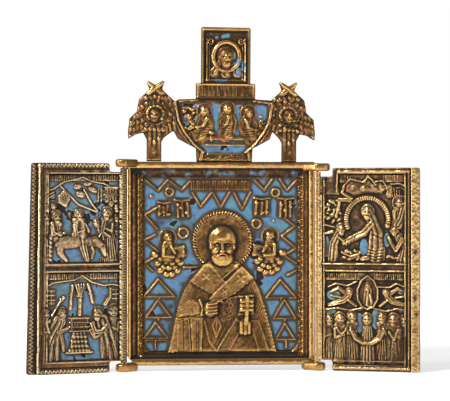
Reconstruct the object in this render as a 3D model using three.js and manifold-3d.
// A cast brass travelling icon in three leaves: a centre panel with its crown, and two wings that
// turn on short pins and fold over the panel. Millimetres, +Z up, the front faces -Y.
import * as THREE from "three";
import { ConvexGeometry } from "three/addons/geometries/ConvexGeometry.js";
import { mergeVertices } from "three/addons/utils/BufferGeometryUtils.js";
import Module from "manifold-3d";

const wasm = await Module();
wasm.setup();

// Centre panel
const panelWidth = 79.6;
const panelHeight = 85.6;
const panelLift = 2.2; // the panel's lower edge above the ground, because the ears reach lower
const plateThickness = 1.8;
const flangeDepth = 4.8; // top and bottom rims, from the back of the panel
const flangeHeight = 2.6;
const sideRimDepth = 4.4;
const sideRimWidth = 2.3;
const innerRimDepth = 3.1;
const innerRimWidth = 4.4;
const cellRidgeWidth = 0.9;
const cellRidgeRise = 0.9;
const cornerNick = 2.8;

// Hinges
const hingeOffset = 1; // from the panel's side to the hinge axis, in front of it
const earRadius = 2.9;
const earHeight = 3.3;
const earStandOut = 1; // how far the upper ears rise over the panel's top edge
const earStretch = 0.5; // the ears are a little longer than round
const longEarStretch = 2.4; // the upper right ear is longer, and hangs lower
const longEarDrop = 1.6;
const pinRadius = 0.55;
const pinFit = 0.03; // in the ears
const pinClearance = 0.08; // in the wings
const pinDepthInWing = 3.2;
const barrelEndGap = 0.4;

// Wings
const wingThickness = 3;
const wingPlate = 1.2;
const wingRimWidth = 1.9;
const leftWingHeight = 87;
const rightWingHeight = 85.2;
const closedGap = 0.5; // between the closed wings and the panel's rims
const notchWidth = 6.4;
const notchHeight = 4.4;
const upperNotchHeight = 3.6;
const notchClearance = 0.4;
const seamOverlap = 2.2;
const lapWidth = 2.7; // thinned outer edge of the left wing, at its top
const leftFlare = 2.2; // how much wider the left wing is at its foot
const leftBodyFlare = 0.9;
const lapThickness = 1.2;
const lipWidth = 4;
const lipBack = 1.7; // the right wing's lip is cut away behind this depth
const midBarHeight = 3.6;
const titleHeight = 4.6;
const restFold = 18; // degrees that each wing stands forward of the panel's plane

// Crown
const crownHeight = 57;
const crownPlate = 2.2;
const crownSetBack = 0.9;
const crownShift = 2.1; // the crown stands to the right of the panel's middle
const crownLean = 0.4; // degrees, clockwise from the front
const bowlSwell = 1.07; // the bowl of the crown is wider on its left

// Relief
const saintHeight = 52.5;
const figureRise = 1.5;
const wingFigureRise = 1.45;

const sliver = 0.1;

// Places worked out from the sizes above
const hingeX = panelWidth / 2 + hingeOffset;
const panelTop = panelLift + panelHeight;
const hingeDepth = flangeDepth + closedGap + wingThickness / 2;
const barrelRadius = wingThickness / 2;
const earTop = panelTop + earStandOut;
const earTops = { left: earTop, right: earTop - longEarDrop };
const leftReach = hingeX - 0.5 * seamOverlap;
const rightReach = hingeX + 1.2 * seamOverlap;
const fieldHalf = panelWidth / 2 - sideRimWidth - innerRimWidth;
const fieldBottom = panelLift + flangeHeight + 2.4;
const fieldTop = panelTop - flangeHeight - 3.2;
const radians = THREE.MathUtils.degToRad;

// A closed three.js geometry as a solid.
function solidOf(geometry) {
  const bare = geometry.index ? geometry.toNonIndexed() : geometry;
  bare.deleteAttribute("normal");
  bare.deleteAttribute("uv");
  const merged = mergeVertices(bare, 1e-5);
  return new wasm.Manifold(
    new wasm.Mesh({
      numProp: 3,
      vertProperties: merged.attributes.position.array,
      triVerts: new Uint32Array(merged.index.array),
    }),
  );
}

const joined = (solids) => solids.reduce((whole, next) => whole.add(next));

// A solid as a geometry for a mesh, without the slivers that cuts leave.
function geometryOf(solid) {
  const mesh = solid.simplify(sliver).getMesh();
  const geometry = new THREE.BufferGeometry();
  geometry.setAttribute("position", new THREE.BufferAttribute(new Float32Array(mesh.vertProperties), 3));
  geometry.setIndex(new THREE.BufferAttribute(new Uint32Array(mesh.triVerts), 1));
  return geometry;
}

// Relief is drawn on the front: x to the right, z up, and depth towards the viewer, which is -Y.

// A flat piece cut to an outline of [x, z] points, between two depths.
function slab(outline, from, to, hole) {
  const shape = new THREE.Shape(outline.map(([x, z]) => new THREE.Vector2(x, z)));
  if (hole) shape.holes.push(new THREE.Path(hole.map(([x, z]) => new THREE.Vector2(x, z))));
  const geometry = new THREE.ExtrudeGeometry(shape, { depth: to - from, bevelEnabled: false });
  geometry.translate(0, 0, from);
  geometry.rotateX(Math.PI / 2);
  return solidOf(geometry);
}

const rectangle = (x0, z0, x1, z1) => [[x0, z0], [x1, z0], [x1, z1], [x0, z1]];
const bar = (x0, z0, x1, z1, from, to) => slab(rectangle(x0, z0, x1, z1), from, to);

// The convex body around [x, z, depth] points.
function hull(points) {
  return solidOf(new ConvexGeometry(points.map(([x, z, depth]) => new THREE.Vector3(x, -depth, z))));
}

// Points on an ellipse, counter-clockwise from the right.
function oval(x, z, rx, rz, sides, turn = 0) {
  return Array.from({ length: sides }, (_, i) => {
    const angle = turn + (i * 2 * Math.PI) / sides;
    return [x + rx * Math.cos(angle), z + rz * Math.sin(angle)];
  });
}

// A rounded boss: an oval at its foot, and a smaller one on top.
function boss(x, z, rx, rz, from, to, sides = 6) {
  const foot = oval(x, z, rx, rz, sides).map(([px, pz]) => [px, pz, from]);
  const crest = oval(x, z, rx * 0.55, rz * 0.55, sides).map(([px, pz]) => [px, pz, to]);
  return hull([...foot, ...crest]);
}

// A round-backed limb from one point to another.
function limb([x0, z0], [x1, z1], width, from, to) {
  const length = Math.hypot(x1 - x0, z1 - z0);
  const [ux, uz] = [(x1 - x0) / length, (z1 - z0) / length];
  const half = width / 2;
  const corners = [];
  for (const [px, pz, end] of [[x0, z0, -1], [x1, z1, 1]]) {
    for (const side of [-1, 1]) {
      corners.push([px - side * uz * half, pz + side * ux * half, from]);
    }
    corners.push([px + end * ux * half * 0.7, pz + end * uz * half * 0.7, from]);
    corners.push([px, pz, to]);
  }
  return hull(corners);
}

// Limbs along a run of points, as a drawn line in relief.
const line = (points, width, from, to) =>
  joined(points.slice(1).map((point, i) => limb(points[i], point, width, from, to)));

// A ring wall standing on the ground.
const ring = (x, z, r, width, from, to, sides = 12) =>
  slab(oval(x, z, r, r, sides), from, to, oval(x, z, r - width, r - width, sides).reverse());

// A row of shallow strokes, where the original has lettering.
function strokes(x0, x1, z0, z1, count, from, to) {
  const pitch = (x1 - x0) / count;
  const marks = Array.from({ length: count }, (_, i) => {
    const x = x0 + pitch * (i + 0.5);
    return bar(x - pitch * 0.27, z0, x + pitch * 0.27, z1, from, to);
  });
  return joined(marks);
}

// A draped standing figure: a halo, a head and a robe that widens to its hem.
function person(scene, { x, foot, top, width = 0.16, lean = 0, halo = true, rise = 1, arm }) {
  const at = (sx, sz) => [scene.x + sx * scene.width, scene.z + sz * scene.height];
  const [footX, footZ] = at(x, foot);
  const [topX, topZ] = at(x + lean, top);
  const tall = topZ - footZ;
  const head = 0.17 * scene.height;
  const wide = width * scene.width;
  const ground = scene.ground;
  const high = ground + scene.rise * rise;
  const neckZ = topZ - head;
  const robe = hull([
    [footX - wide * 0.58, footZ, ground], [footX + wide * 0.58, footZ, ground],
    [topX - wide * 0.5, neckZ - tall * 0.1, ground], [topX + wide * 0.5, neckZ - tall * 0.1, ground],
    [topX, neckZ + head * 0.2, ground],
    [footX - wide * 0.3, footZ, high - 0.35], [footX + wide * 0.3, footZ, high - 0.35],
    [topX - wide * 0.22, neckZ - tall * 0.12, high - 0.1], [topX + wide * 0.22, neckZ - tall * 0.12, high - 0.1],
  ]);
  const pieces = [robe];
  if (halo) pieces.push(slab(oval(topX, topZ - head * 0.5, head * 0.62, head * 0.62, 8), ground - 0.1, ground + 0.5));
  pieces.push(boss(topX, topZ - head * 0.5, head * 0.38, head * 0.48, ground, high));
  if (arm) pieces.push(limb([topX, neckZ - tall * 0.14], at(...arm), head * 0.36, ground, high));
  return joined(pieces);
}

// Scalloped cloud edge under a scene's title.
function swags(scene, count) {
  const points = [];
  for (let i = 0; i <= 2 * count; i++) {
    points.push([scene.x + (scene.width * i) / (2 * count), scene.z + scene.height * (i % 2 ? 0.99 : 0.9)]);
  }
  return line(points, 1.1, scene.ground, scene.ground + 0.8);
}

// The four feast scenes, laid out in shares of each scene's width and height.

// A rider on a donkey comes from the left to a crowd at a gate.
function riderScene(scene) {
  const at = (sx, sz) => [scene.x + sx * scene.width, scene.z + sz * scene.height];
  const high = scene.ground + scene.rise;
  const draw = (points, width, rise = 1) =>
    line(points.map((p) => at(...p)), width * scene.height, scene.ground, scene.ground + scene.rise * rise);
  return [
    person(scene, { x: 0.05, foot: 0.16, top: 0.62, width: 0.1, halo: false }),
    person(scene, { x: 0.12, foot: 0.05, top: 0.64, width: 0.14, lean: 0.06, arm: [0.3, 0.4] }),
    person(scene, { x: 0.83, foot: 0.03, top: 0.68, width: 0.17, halo: false, arm: [0.72, 0.38] }),
    person(scene, { x: 0.95, foot: 0.03, top: 0.66, width: 0.12, halo: false, rise: 0.85 }),
    draw([[0.28, 0.24], [0.62, 0.24], [0.78, 0.3]], 0.19, 0.85),
    draw([[0.3, 0.22], [0.32, 0.02]], 0.08, 0.7),
    draw([[0.62, 0.22], [0.58, 0.03]], 0.08, 0.7),
    draw([[0.8, 0.3], [0.82, 0.12]], 0.11, 0.9),
    person(scene, { x: 0.5, foot: 0.16, top: 0.68, width: 0.19, lean: -0.03, arm: [0.6, 0.4] }),
    draw([[0.5, 0.26], [0.57, 0.03]], 0.1),
    draw([[0.18, 0.82], [0.3, 0.72], [0.52, 0.66]], 0.09, 0.6),
    draw([[0.28, 0.98], [0.74, 0.63]], 0.035, 0.5),
    slab([at(0.02, 0.74), at(0.16, 0.72), at(0.36, 0.66), at(0.33, 0.84), at(0.16, 0.9), at(0.03, 0.86)],
      scene.ground - 0.1, scene.ground + 0.6),
    boss(...at(0.48, 0.92), 2.6, 1.7, scene.ground, high - 0.3),
    boss(...at(0.5, 0.83), 2.2, 1.7, scene.ground, high - 0.4),
    boss(...at(0.63, 0.88), 2.6, 1.3, scene.ground, high - 0.5),
    bar(...at(0.76, 0.74), ...at(0.98, 0.87), scene.ground - 0.1, scene.ground + 0.9),
  ];
}

// Two pairs of figures meet over an altar under a canopy.
function altarScene(scene) {
  const at = (sx, sz) => [scene.x + sx * scene.width, scene.z + sz * scene.height];
  const draw = (points, width, rise = 1) =>
    line(points.map((p) => at(...p)), width * scene.height, scene.ground, scene.ground + scene.rise * rise);
  return [
    bar(...at(0.33, 0.08), ...at(0.61, 0.44), scene.ground - 0.1, scene.ground + scene.rise * 0.7),
    bar(...at(0.36, 0.44), ...at(0.58, 0.5), scene.ground - 0.1, scene.ground + scene.rise * 0.9),
    bar(...at(0.3, 0.04), ...at(0.65, 0.09), scene.ground - 0.1, scene.ground + scene.rise * 0.85),
    draw([[0.37, 0.56], [0.37, 0.88]], 0.05, 0.6),
    draw([[0.48, 0.5], [0.48, 0.88]], 0.06, 0.8),
    draw([[0.64, 0.56], [0.61, 0.88]], 0.05, 0.6),
    draw([[0.41, 0.95], [0.48, 0.8], [0.55, 0.95]], 0.04, 0.6),
    person(scene, { x: 0.05, foot: 0.06, top: 0.68, width: 0.13 }),
    person(scene, { x: 0.17, foot: 0.02, top: 0.67, width: 0.17, lean: 0.08, halo: false, arm: [0.36, 0.42] }),
    person(scene, { x: 0.83, foot: 0.02, top: 0.7, width: 0.2, lean: -0.12, arm: [0.64, 0.34] }),
    person(scene, { x: 0.94, foot: 0.06, top: 0.68, width: 0.13, halo: false, rise: 0.85 }),
    bar(...at(0.03, 0.74), ...at(0.17, 0.9), scene.ground - 0.1, scene.ground + 0.7),
    draw([[0.85, 0.72], [0.84, 0.9]], 0.06, 0.6),
    draw([[0.94, 0.74], [0.93, 0.88]], 0.08, 0.5),
  ];
}

// A tall figure under a rock arch reaches down to one who kneels.
function archScene(scene) {
  const at = (sx, sz) => [scene.x + sx * scene.width, scene.z + sz * scene.height];
  const draw = (points, width, rise = 1) =>
    line(points.map((p) => at(...p)), width * scene.height, scene.ground, scene.ground + scene.rise * rise);
  const arch = Array.from({ length: 7 }, (_, i) => {
    const angle = Math.PI - (i * Math.PI) / 6;
    return [0.51 + 0.24 * Math.cos(angle), 0.56 + 0.27 * Math.sin(angle)];
  });
  return [
    draw(arch, 0.09, 0.75),
    draw([[0.4, 0.87], [0.46, 0.99], [0.55, 0.99], [0.6, 0.88]], 0.04, 0.5),
    draw([[0.2, 0.95], [0.26, 0.84], [0.2, 0.72]], 0.09, 0.6),
    draw([[0.78, 0.9], [0.88, 0.92], [0.98, 0.86]], 0.05, 0.5),
    person(scene, { x: 0.56, foot: 0.03, top: 0.74, width: 0.19, lean: -0.05, arm: [0.42, 0.36] }),
    person(scene, { x: 0.12, foot: 0.03, top: 0.5, width: 0.14, lean: 0.08, halo: false, arm: [0.24, 0.2] }),
    draw([[0.2, 0.2], [0.46, 0.36]], 0.12, 0.8),
    person(scene, { x: 0.9, foot: 0.04, top: 0.5, width: 0.2, lean: -0.04, halo: false, arm: [0.74, 0.3] }),
    person(scene, { x: 0.92, foot: 0.5, top: 0.84, width: 0.2 }),
    person(scene, { x: 0.12, foot: 0.5, top: 0.8, width: 0.22, halo: false, rise: 0.8 }),
    draw([[0.2, 0.06], [0.44, 0.08]], 0.08, 0.6),
    draw([[0.06, 0.52], [0.3, 0.55]], 0.03, 0.5),
  ];
}

// A crowd stands below, and two angels bear up a pointed glory with a seated figure.
function gloryScene(scene) {
  const at = (sx, sz) => [scene.x + sx * scene.width, scene.z + sz * scene.height];
  const draw = (points, width, rise = 1) =>
    line(points.map((p) => at(...p)), width * scene.height, scene.ground, scene.ground + scene.rise * rise);
  const glory = (share) => oval(...at(0.51, 0.81), 0.13 * scene.width * share, 0.19 * scene.height * share, 12);
  const crowd = [
    { x: 0.05, width: 0.1, rise: 0.75, halo: false },
    { x: 0.19, width: 0.16, rise: 1, arm: [0.27, 0.36] },
    { x: 0.33, width: 0.13, rise: 0.8, halo: false },
    { x: 0.68, width: 0.13, rise: 0.8, halo: false },
    { x: 0.82, width: 0.16, rise: 1, arm: [0.74, 0.34] },
    { x: 0.95, width: 0.1, rise: 0.75, halo: false },
  ];
  return [
    slab(glory(1), scene.ground - 0.1, scene.ground + scene.rise * 0.6, glory(0.82).reverse()),
    person(scene, { x: 0.51, foot: 0.67, top: 0.95, width: 0.15, halo: false }),
    draw([[0.38, 0.74], [0.27, 0.8], [0.08, 0.68]], 0.1, 0.85),
    draw([[0.64, 0.74], [0.75, 0.8], [0.94, 0.7]], 0.1, 0.85),
    boss(...at(0.31, 0.84), 1.5, 1.8, scene.ground, scene.ground + scene.rise),
    boss(...at(0.73, 0.84), 1.5, 1.8, scene.ground, scene.ground + scene.rise),
    draw([[0.05, 0.86], [0.2, 0.93], [0.34, 0.92]], 0.04, 0.5),
    draw([[0.68, 0.92], [0.82, 0.93], [0.97, 0.86]], 0.04, 0.5),
    ...crowd.map((one) => person(scene, { foot: 0.02, top: 0.6, ...one })),
    person(scene, { x: 0.51, foot: 0.02, top: 0.6, width: 0.2 }),
    draw([[0.36, 0.38], [0.51, 0.22], [0.68, 0.38]], 0.08),
  ];
}

// One wing, with its hinge axis on the line x = 0 and its back on y = 0. Side is -1 on the left.
function wing(side, { reach, height, flare, bodyFlare, upper, lower }) {
  const outer = side < 0 ? lapWidth : lipWidth;
  const step = notchWidth;
  const body = reach - outer;
  const inner = barrelRadius * 0.3;
  const notchTop = height - upperNotchHeight;
  const rimTop = wingThickness - 0.1;
  const block = (a, b, z0, z1, from, to) => bar(Math.min(side * a, side * b), z0, Math.max(side * a, side * b), z1, from, to);
  // An upright strip whose edges may lean out towards the foot.
  const strip = (near, nearLean, far, farLean, from, to) => {
    const points = [[near, height], [near + nearLean, 0], [far + farLean, 0], [far, height]];
    const outline = points.map(([x, z]) => [side * x, z]);
    return slab(side < 0 ? outline.reverse() : outline, from, to);
  };
  const pieces = [
    block(inner, body, notchHeight, notchTop, 0, wingPlate),
    block(step, body, 0, height, 0, wingPlate),
    block(step, body, 0, wingRimWidth, 0, rimTop),
    block(step, body, height - wingRimWidth, height, 0, rimTop),
    strip(body - wingRimWidth, bodyFlare, body, bodyFlare, 0, rimTop),
    block(step, step + 1.2, 0, notchHeight + 1, 0, rimTop),
    block(step, step + 1.2, notchTop - 1, height, 0, rimTop),
    block(inner, step + 0.4, notchHeight, notchHeight + 1, 0, rimTop - 0.5),
    block(inner, step + 0.4, notchTop - 1, notchTop, 0, rimTop - 0.5),
  ];
  // The thinned lap of the left wing goes over the lip of the right one when both are closed.
  if (side < 0) pieces.push(strip(body - 0.5, 0, reach, flare, 0, lapThickness));
  else pieces.push(strip(body - wingRimWidth, 0, reach, flare, lipBack, wingThickness));

  const sceneInner = barrelRadius + 1.6;
  const sceneOuter = body - wingRimWidth - 1.2;
  const [x0, x1] = side < 0 ? [-sceneOuter, -sceneInner] : [sceneInner, sceneOuter];
  const frameLow = notchHeight;
  const frameHigh = notchTop - 1;
  const middle = (frameLow + frameHigh) / 2;
  const scene = (z, top) => ({
    x: x0, z, width: x1 - x0, height: top - z, ground: wingPlate - 0.05, rise: wingFigureRise,
  });
  const lowerScene = scene(frameLow + 0.6, middle - midBarHeight / 2 - titleHeight);
  const upperScene = scene(middle + midBarHeight / 2, frameHigh - titleHeight + 0.6);
  for (const z of [middle - midBarHeight / 2, middle + midBarHeight / 2 - 1.1]) {
    pieces.push(block(sceneInner, sceneOuter, z, z + 1.1, 0, wingThickness - 0.5));
  }
  for (const one of [lowerScene, upperScene]) {
    const titleLow = one.z + one.height + 0.9;
    pieces.push(strokes(x0 + 1.6, x1 - 1.6, titleLow, titleLow + titleHeight - 2.4, 6, wingPlate - 0.1, wingPlate + 0.7));
    pieces.push(swags(one, 3));
  }
  for (const x of [x0 - 0.9, x1]) {
    pieces.push(bar(x, frameLow, x + 0.9, frameHigh, wingPlate - 0.1, wingThickness - 0.6));
  }
  const inside = bar(x0 - 0.5, frameLow - 0.2, x1 + 0.5, frameHigh + 0.4, 0, wingThickness - 0.2);
  const relief = joined([...upper(upperScene), ...lower(lowerScene)]).intersect(inside);
  const plate = joined([...pieces, relief]).translate([0, wingThickness / 2, 0]);

  // The round hinge edge reaches both ears and is drilled for the pins.
  const barrelLow = earHeight + barrelEndGap;
  const barrelHigh = (side < 0 ? earTops.left : earTops.right) - earHeight - barrelEndGap;
  const barrel = post(barrelRadius, barrelLow, barrelHigh, 16);
  const drill = pinRadius + pinClearance;
  const holeLow = post(drill, barrelLow - 1, barrelLow + pinDepthInWing + 0.3, 12);
  const holeHigh = post(drill, barrelHigh - pinDepthInWing - 0.3, barrelHigh + 1, 12);
  return plate.add(barrel).subtract(holeLow).subtract(holeHigh);
}

// An upright round rod on the z axis.
function post(radius, low, high, sides) {
  const geometry = new THREE.CylinderGeometry(radius, radius, high - low, sides);
  geometry.rotateX(Math.PI / 2);
  geometry.translate(0, 0, (low + high) / 2);
  return solidOf(geometry);
}

// An ear in plan: a lobe around the hinge axis, drawn back to the panel's corner, with the pin's hole.
function ear(side, low, stretch) {
  const high = low + earHeight;
  const root = panelWidth / 2 - (notchWidth - hingeOffset - notchClearance);
  const plan = [];
  for (let i = 0; i <= 10; i++) {
    const angle = Math.PI * (-0.62 + (1.24 * i) / 10);
    const centre = hingeX + (Math.cos(angle) > 0.01 ? stretch : 0);
    plan.push([centre + earRadius * Math.cos(angle), hingeDepth - earRadius * Math.sin(angle)]);
  }
  const corners = [...plan, [panelWidth / 2 - 0.4, 0], [root, 0], [root, flangeDepth]];
  const points = corners.flatMap(([x, depth]) => [[side * x, low, depth], [side * x, high, depth]]);
  const hole = post(pinRadius + pinFit, low - 1, high + 1, 12);
  return hull(points).subtract(hole.translate([side * hingeX, -hingeDepth, 0]));
}

// A half-length bishop saint before a roped halo, one hand raised and the other under a book.
function saint(centreX, foot) {
  const s = saintHeight / 100;
  const ground = plateThickness - 0.1;
  const at = (x, z) => [centreX + x * s, foot + z * s];
  const halo = [...at(0, 91), 24.6 * s];
  const outline = [
    [-43, 0], [-37.5, 23], [-33, 43], [-28.5, 55], [-21.5, 65], [-13, 71], [13, 71],
    [22, 65], [28.5, 55], [34.5, 43], [40, 21], [44, 0],
  ].map((p) => at(...p));
  const inset = outline.map(([x, z]) => [centreX + (x - centreX) * 0.86, foot + (z - foot) * 0.93]);
  const body = hull([
    ...outline.map(([x, z]) => [x, z, ground]),
    ...outline.map(([x, z]) => [x, z, ground + 0.5]),
    ...inset.map(([x, z]) => [x, z, ground + figureRise]),
  ]);
  const level = ground + figureRise;
  const band = (a, b, width, rise) => limb(at(...a), at(...b), width * s, ground + 0.4, level + rise);
  const head = at(0, 87);
  return [
    slab(oval(...halo, halo[2], 20), ground, ground + 0.7),
    ring(...halo, 2.6 * s, ground, ground + 1.2, 20),
    body,
    band([-15, 66], [9, 43], 13, 0.35),
    band([20, 66], [-8, 42], 13, 0.6),
    band([-9, 3], [-3, 32], 11, 0.3),
    band([1, 3], [14, 28], 10, 0.3),
    band([29, 3], [20, 30], 9, 0.3),
    band([-34, 26], [-12, 34], 11, 0.5),
    boss(...at(-9, 36), 6.5 * s, 7 * s, level - 0.3, level + 0.9, 10),
    limb(at(-9, 38), at(0, 44), 3 * s, level - 0.3, level + 0.7),
    bar(...at(11, 18), ...at(27, 45), level - 0.3, level + 0.7),
    boss(...at(19, 33), 5.5 * s, 9 * s, level, level + 1.1, 8),
    limb(at(19, 16), at(19, 26), 8 * s, level - 0.3, level + 1),
    boss(...head, 12.6 * s, 17 * s, ground, ground + 2.2, 14),
    boss(head[0], head[1] + 7 * s, 10 * s, 9 * s, ground + 1, ground + 2.7, 12),
    boss(head[0], head[1] - 10 * s, 8.5 * s, 8 * s, ground + 1, ground + 2.7, 10),
    limb([head[0], head[1] - 4 * s], [head[0], head[1] + 5 * s], 4.4 * s, ground + 1, ground + 3),
  ];
}

// A small seated figure on a bank of cloud, in the panel's upper corners.
function cloudFigure(centreX, low, height, facing) {
  const ground = plateThickness - 0.1;
  const s = height / 10;
  const clouds = [-1.9, 0, 1.9].map((x, i) =>
    boss(centreX + x * s, low + (i === 1 ? 1.2 : 1.8) * s, 1.6 * s, 1.3 * s, ground, ground + 1.3));
  return [
    ...clouds,
    boss(centreX, low + 3.9 * s, 2.1 * s, 2.6 * s, ground, ground + 1.5, 8),
    slab(oval(centreX - facing * 0.4 * s, low + 7.7 * s, 2.1 * s, 2.1 * s, 10), ground, ground + 0.6),
    boss(centreX - facing * 0.3 * s, low + 7.6 * s, 1.3 * s, 1.6 * s, ground, ground + 1.5, 8),
    limb([centreX + facing * 0.5 * s, low + 4.2 * s], [centreX + facing * 2.4 * s, low + 4.8 * s], 1.9 * s,
      ground, ground + 1.3),
  ];
}

// Ridges that wall in the enamel: zigzags along the field's edges and triangles below.
function cells() {
  const ground = plateThickness - 0.1;
  const top = plateThickness + cellRidgeRise;
  const draw = (points) => line(points, cellRidgeWidth, ground, top);
  const height = fieldTop - fieldBottom;
  const at = (x, z) => [x * fieldHalf, fieldBottom + z * height];
  const pieces = [];
  for (const [x, low, high] of [[-0.82, 0.925, 0.99], [-0.6, 0.94, 0.99], [0.56, 0.92, 0.99], [0.85, 0.93, 0.99]]) {
    pieces.push(draw([at(x - 0.13, high), at(x, low), at(x + 0.11, high)]));
  }
  for (const [i, x] of [-0.27, -0.01, 0.24].entries()) {
    pieces.push(draw([at(x - 0.11, 0.915), at(x, 0.84 - 0.007 * i), at(x + 0.11, 0.915)]));
  }
  for (const side of [-1, 1]) {
    const run = [[0.78, 0.84], [0.96, 0.79], [0.8, 0.71], [0.97, 0.655], [0.82, 0.595], [0.97, 0.545], [0.86, 0.49]];
    pieces.push(draw(run.map(([x, z]) => at(side * x, z))));
    for (const [i, width] of [0.19, 0.14, 0.13].entries()) {
      const base = 0.32 - 0.125 * i;
      const middle = side * 0.8;
      const corners = [at(middle - width, base), at(middle, base + 0.105), at(middle + width, base)];
      pieces.push(draw([...corners, corners[0]]));
    }
    pieces.push(draw([at(side * 0.82, 0.01), at(side * 0.82, 0.06)]));
  }
  for (const [x, z] of [[-0.66, 0.91], [-0.49, 0.685], [0.67, 0.91], [0.44, 0.73]]) {
    pieces.push(ring(...at(x, z), 2.2, 0.9, ground, top, 7));
  }
  for (const x of [-0.72, -0.5, 0.54, 0.83]) {
    const [left, low] = at(x - 0.075, 0.8);
    const [right, high] = at(x + 0.075, 0.865);
    pieces.push(strokes(left, right, low, high, 2, ground, top + 0.2));
    pieces.push(bar(left, high - 0.4, right, high + 0.8, ground, top + 0.2));
  }
  return pieces;
}

// The centre panel: a tray with deep rims, its relief, four ears and the crown, cast as one.
function centrePanel() {
  const half = panelWidth / 2;
  const ground = plateThickness - 0.1;
  const pieces = [
    bar(-half, panelLift, half, panelTop, 0, plateThickness),
    bar(-half, panelLift, half, panelLift + flangeHeight, 0, flangeDepth),
    bar(-half, panelTop - flangeHeight, half, panelTop, 0, flangeDepth),
    bar(-half + 1, panelTop - flangeHeight - 2.6, half - 1, panelTop - flangeHeight + 0.1, 0, innerRimDepth),
    bar(-half + 1, panelLift + flangeHeight - 0.1, half - 1, panelLift + flangeHeight + 1.8, 0, innerRimDepth),
  ];
  for (const side of [-1, 1]) {
    const outer = side * half;
    const face = side * (half - sideRimWidth);
    const inner = side * (fieldHalf + 0.4);
    pieces.push(bar(Math.min(outer, face), panelLift, Math.max(outer, face), panelTop, 0, sideRimDepth));
    const crossSection = [
      [face, 0], [face, innerRimDepth + 0.5], [inner + side * 1.2, innerRimDepth], [inner, innerRimDepth - 0.6], [inner, 0],
    ];
    const [low, high] = [panelLift + flangeHeight - 0.2, panelTop - flangeHeight + 0.2];
    pieces.push(hull(crossSection.flatMap(([x, depth]) => [[x, low, depth], [x, high, depth]])));
  }
  // A title plate over the saint, with strokes for its lettering.
  const titleHalf = 0.42 * fieldHalf;
  const titleLow = fieldTop - 0.1 * (fieldTop - fieldBottom) + 1.4;
  pieces.push(bar(-titleHalf, titleLow, titleHalf, fieldTop, ground, plateThickness + 0.5));
  pieces.push(strokes(-titleHalf + 0.8, titleHalf - 0.8, titleLow + 1, fieldTop - 1.6, 11, ground, plateThickness + 1));

  const field = bar(-half + 1, panelLift + 1, half - 1, panelTop - 1, 0, flangeDepth - 0.1);
  const relief = joined([
    ...cells(),
    ...cloudFigure(-0.64 * fieldHalf, fieldBottom + 0.49 * (fieldTop - fieldBottom), 18.5, 1),
    ...cloudFigure(0.62 * fieldHalf, fieldBottom + 0.49 * (fieldTop - fieldBottom), 18.5, -1),
    ...saint(0.04 * fieldHalf, fieldBottom),
  ]).intersect(field);
  const ears = [
    ear(-1, 0, earStretch),
    ear(1, 0, earStretch),
    ear(-1, earTops.left - earHeight, earStretch),
    ear(1, earTops.right - earHeight, longEarStretch),
  ];
  // The casting is cut away over the lower left ear.
  const nick = hull([
    [-half - 1, earHeight, -1], [-half + cornerNick, earHeight, -1], [-half - 1, earHeight + cornerNick * 1.3, -1],
    [-half - 1, earHeight, 9], [-half + cornerNick, earHeight, 9], [-half - 1, earHeight + cornerNick * 1.3, 9],
  ]);
  return joined([...pieces, relief]).subtract(nick).add(joined(ears)).add(crown());
}

// The crown is drawn in hundredths of its height above the panel, to each side of its own middle line.

// A six-winged angel on its stem. Side is the way its spread wing points.
function seraph(centre, side, at, back, front) {
  const outline = [
    [5.4, -1], [5.4, 16], [8, 21], [19, 16.5], [19.3, 22], [18.2, 31.5], [11.8, 38], [11.2, 46], [6.3, 50],
    [4, 52.5], [5.6, 59], [-0.5, 56.5], [-7.4, 59.6], [-7, 54], [-6.3, 52], [-14.4, 45], [-14.4, 23],
    [-7.4, 17.7], [-5.4, 14.5], [-5.4, -1],
  ].map(([x, z]) => at(centre + side * x, z));
  const [faceX, faceZ] = at(centre - side * 0.8, 35);
  const unit = crownHeight / 100;
  const pieces = [slab(side > 0 ? outline : outline.reverse(), back, front)];
  pieces.push(ring(faceX, faceZ, 9 * unit, 2 * unit, front - 0.1, front + 0.8, 12));
  pieces.push(boss(faceX, faceZ, 5.4 * unit, 6.5 * unit, front - 0.1, front + 1.3, 8));
  // Feathers on the spread wing and on the two that cover the body.
  for (const [x, z, length, angle] of [
    [11, 32, 14, -1.15], [15, 28, 10, -1.25], [-10, 33, 10, -1.9], [4, 23, 14, -1.5], [-3.5, 23, 14, -1.62],
    [8, 46, 9, -0.9], [-9, 45, 9, -2.2],
  ]) {
    const end = [x + length * Math.cos(angle), z + length * Math.sin(angle)];
    pieces.push(limb(at(centre + side * x, z), at(centre + side * end[0], end[1]), 5 * unit, front - 0.1, front + 0.8));
  }
  for (const lean of [-1, 1]) {
    pieces.push(limb(at(centre - lean * 4, 52), at(centre + lean * 5, 58), 3.4 * unit, front - 0.1, front + 0.8));
  }
  return pieces;
}

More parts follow.
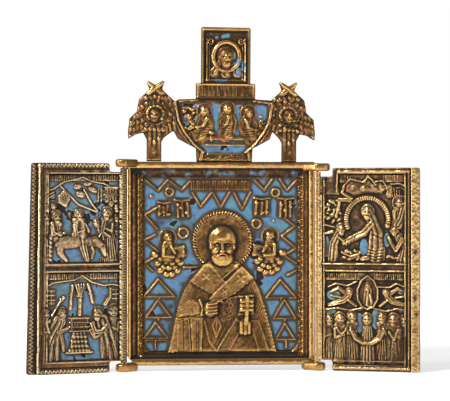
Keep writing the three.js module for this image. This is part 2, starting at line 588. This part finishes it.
// The crown: a bowl on a foot, a title block and a small panel above, with a six-winged angel each side.
function crown() {
  const unit = crownHeight / 100;
  const back = crownSetBack;
  const front = crownSetBack + crownPlate;
  const at = (x, z) => [x * unit, z * unit];
  const half = [
    [19.8, -1], [20.3, 10], [25, 12.5], [33, 17], [37, 22], [35.6, 44], [32.5, 46], [22, 46.5], [22, 58],
    [18.3, 58], [18.3, 99], [17.4, 99.8],
  ];
  const toLeft = ([x, z]) => [z < 46.2 ? -bowlSwell * x : -x, z];
  const mirrored = half.map(toLeft).reverse();
  const outline = [...half, ...mirrored].map(([x, z]) => at(x, z));
  const frame = (x, z0, z1, width, rise) => {
    const outer = rectangle(...at(-x, z0), ...at(x, z1));
    const inner = rectangle(...at(width - x, z0 + width), ...at(x - width, z1 - width));
    return slab(outer, front - 0.1, front + rise, inner.reverse());
  };
  const drawn = (points, width) => line(points.map((p) => at(...p)), width, front - 0.1, front + 1);
  const face = at(0, 77);
  const pieces = [
    slab(outline, back, front),
    frame(18.3, 58, 99, 2.4, 0.9),
    ring(...face, 11 * unit, 2 * unit, front - 0.1, front + 0.9, 16),
    boss(...face, 6.5 * unit, 8 * unit, front - 0.1, front + 1.3, 10),
    ...[-7, 0, 7].map((x) => boss(...at(x, 65), 3.6 * unit, 5 * unit, front - 0.1, front + 1)),
    bar(...at(-22, 47), ...at(22, 58), front - 0.1, front + 0.8),
    bar(...at(-18, 1), ...at(18, 8), front - 0.1, front + 0.5),
    bar(...at(-14, 17), ...at(14, 20), front - 0.1, front + 0.8),
    boss(...at(-10, 23), 3 * unit, 4 * unit, front - 0.1, front + 1.2),
  ];
  const rim = [[20, 45], [34.5, 44], [31, 25], [22, 12], [17, 8]];
  pieces.push(drawn(rim, 1.3), drawn(rim.map(toLeft), 1.3));
  // Three angels sit behind a low table with a cup.
  for (const [x, z] of [[-17, 37], [0, 40], [17, 37]]) {
    pieces.push(slab(oval(...at(x, z), 5 * unit, 5 * unit, 8), front - 0.1, front + 0.4));
    pieces.push(boss(...at(x, z), 3 * unit, 3.8 * unit, front - 0.1, front + 1.2));
    pieces.push(boss(...at(x, z - 12), 6.5 * unit, 9 * unit, front - 0.1, front + 1.1));
  }
  pieces.push(...seraph(-52.8, -1, at, back, front));
  pieces.push(...seraph(47.5, 1, at, back, front));
  const place = new THREE.Matrix4().makeTranslation(crownShift, 0, panelTop);
  place.multiply(new THREE.Matrix4().makeRotationY(radians(crownLean)));
  const below = bar(-panelWidth, 0, panelWidth, panelTop - 0.3, -1, flangeDepth + 2);
  return joined(pieces).transform(place.elements).subtract(below);
}

// Short pins hold the wings in the ears.
function pin(low, length) {
  return post(pinRadius, low, low + length, 10);
}

const brass = { color: 0x9a7338, roughness: 0.42, metalness: 0.9 };
const finish = (color = brass.color) => new THREE.MeshStandardMaterial({ ...brass, color });

function mesh(name, solid, material) {
  const made = new THREE.Mesh(geometryOf(solid), material);
  made.name = name;
  return made;
}

const triptych = new THREE.Group();
triptych.add(mesh("centre_panel", centrePanel(), finish()));

const wings = [
  {
    side: -1, name: "left_wing", reach: leftReach, height: leftWingHeight,
    flare: leftFlare, bodyFlare: leftBodyFlare, upper: riderScene, lower: altarScene,
  },
  {
    side: 1, name: "right_wing", reach: rightReach, height: rightWingHeight,
    flare: 0, bodyFlare: 0, upper: archScene, lower: gloryScene,
  },
];
for (const one of wings) {
  const leaf = mesh(one.name, wing(one.side, one), finish(0x8f6a35));
  leaf.position.set(one.side * hingeX, -hingeDepth, 0);
  leaf.rotation.z = -one.side * radians(restFold);
  triptych.add(leaf);
}

const pinLength = earHeight + barrelEndGap + pinDepthInWing;
for (const side of [-1, 1]) {
  const word = side < 0 ? "left" : "right";
  const places = [["lower", 0, pinLength], ["upper", earTops[word] - pinLength, pinLength]];
  for (const [level, low, length] of places) {
    const made = mesh(`${word}_${level}_pin`, pin(low, length), finish(0x77706a));
    made.position.set(side * hingeX, -hingeDepth, 0);
    triptych.add(made);
  }
}

// The origin lies under the middle of the whole, on the ground.
const fold = radians(restFold);
const leftExtent = hingeX + (leftReach + leftFlare) * Math.cos(fold) + (wingThickness / 2) * Math.sin(fold);
const rightExtent = hingeX + rightReach * Math.cos(fold) - (lipBack - wingThickness / 2) * Math.sin(fold);
const frontExtent = hingeDepth + rightReach * Math.sin(fold) + (wingThickness / 2) * Math.cos(fold);
triptych.position.set((leftExtent - rightExtent) / 2, frontExtent / 2, 0);

export default triptych;
